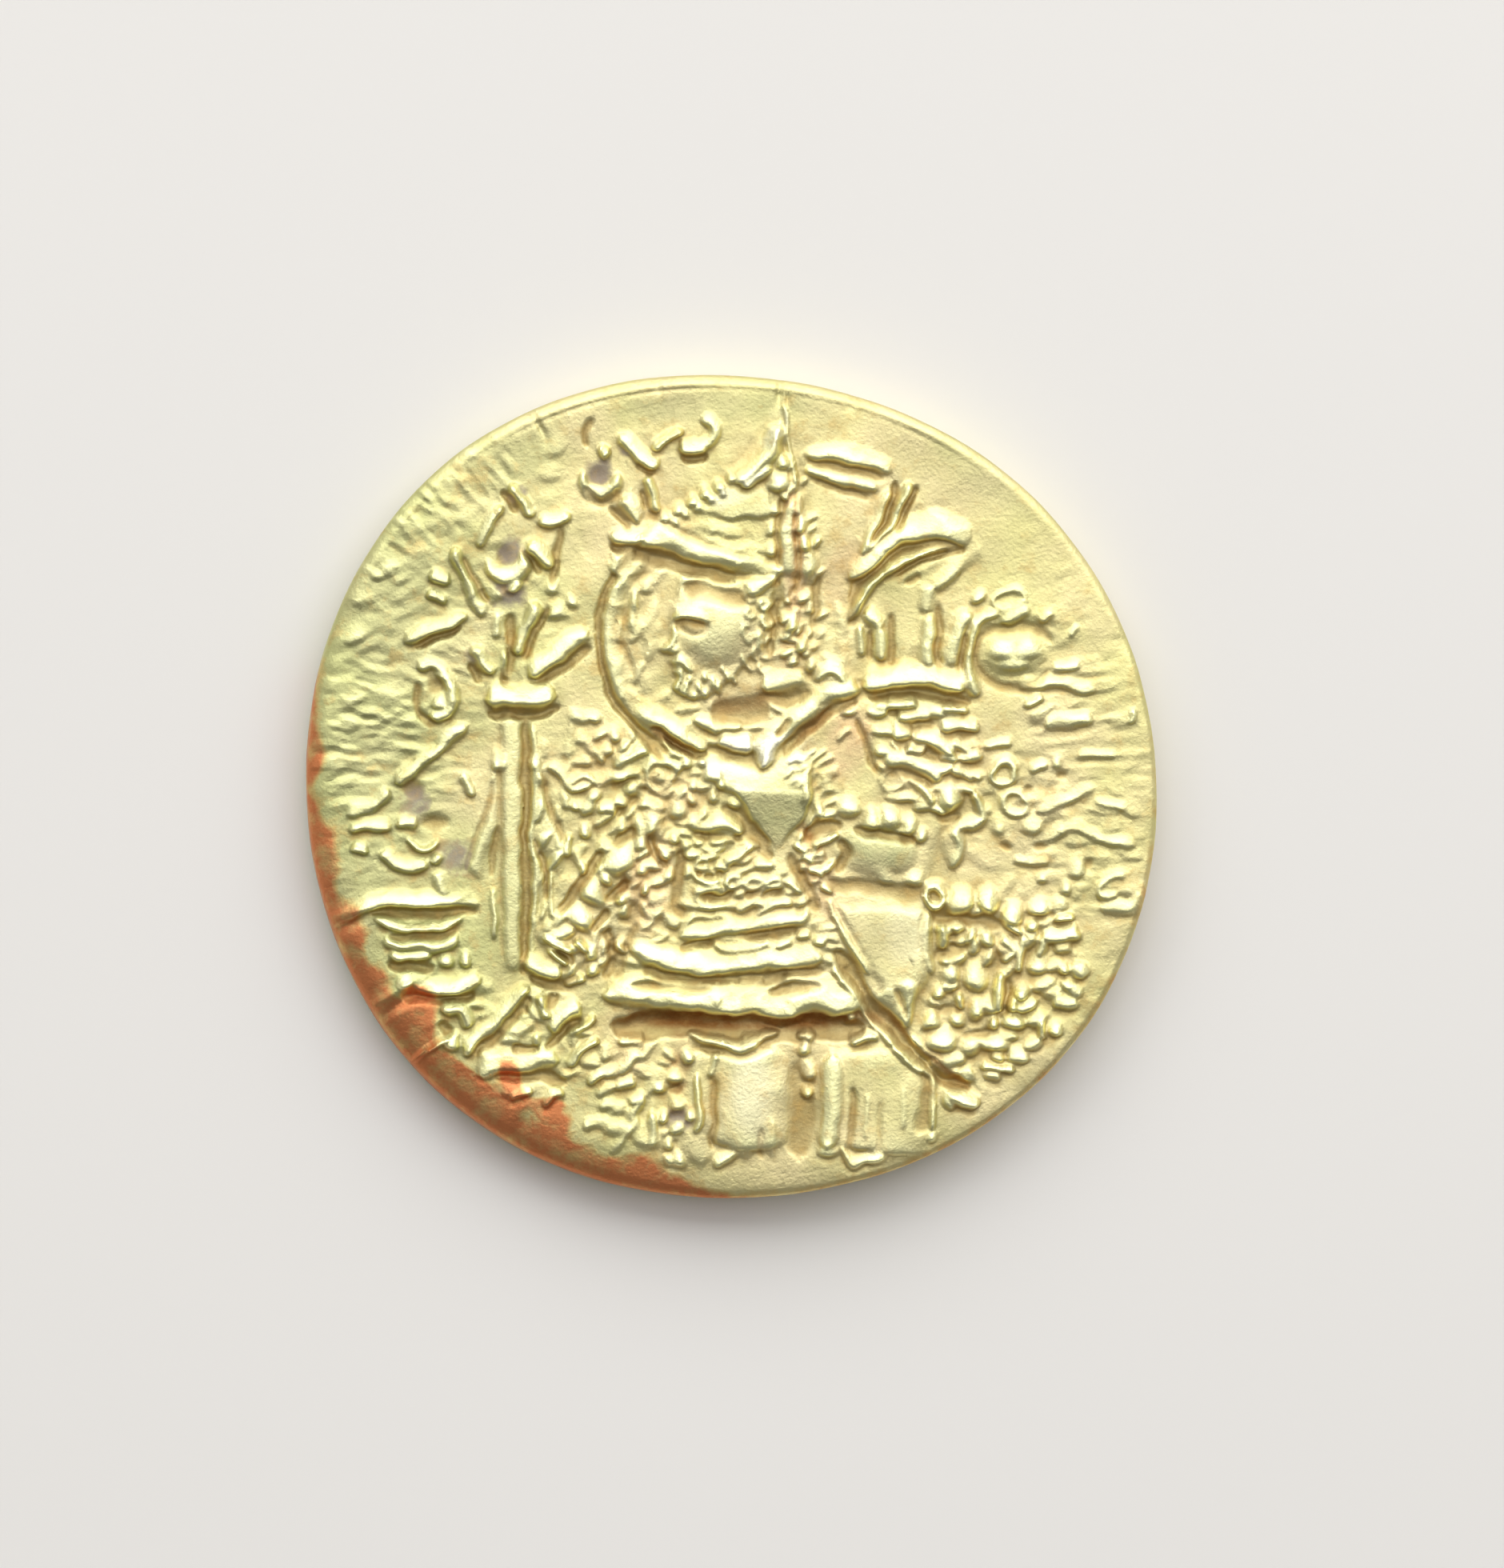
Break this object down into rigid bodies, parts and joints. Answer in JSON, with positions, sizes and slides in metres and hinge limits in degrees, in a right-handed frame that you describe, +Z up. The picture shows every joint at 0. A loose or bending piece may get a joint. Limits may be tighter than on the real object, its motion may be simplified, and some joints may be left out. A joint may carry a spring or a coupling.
{
  "type": "gold coin",
  "caption": "Ancient hammered gold coin lying obverse up: slightly out-of-round flan with a standing king with nimbus in relief, and a hollowed reverse with a plain standing figure.",
  "frame": {"origin": "middle of the coin's footprint, on the surface that it lies on", "axes": "+Z up out of the obverse, +Y towards the head of the king, +X to the right of the obverse"},
  "size_m": [0.021, 0.0202, 0.0019],
  "materials": {
    "gold": "worn struck gold, satin with bright high points and brown dirt in the recesses"
  },
  "bodies": {
    "root": {"coin": "gold"}
  },
  "joints": []
}
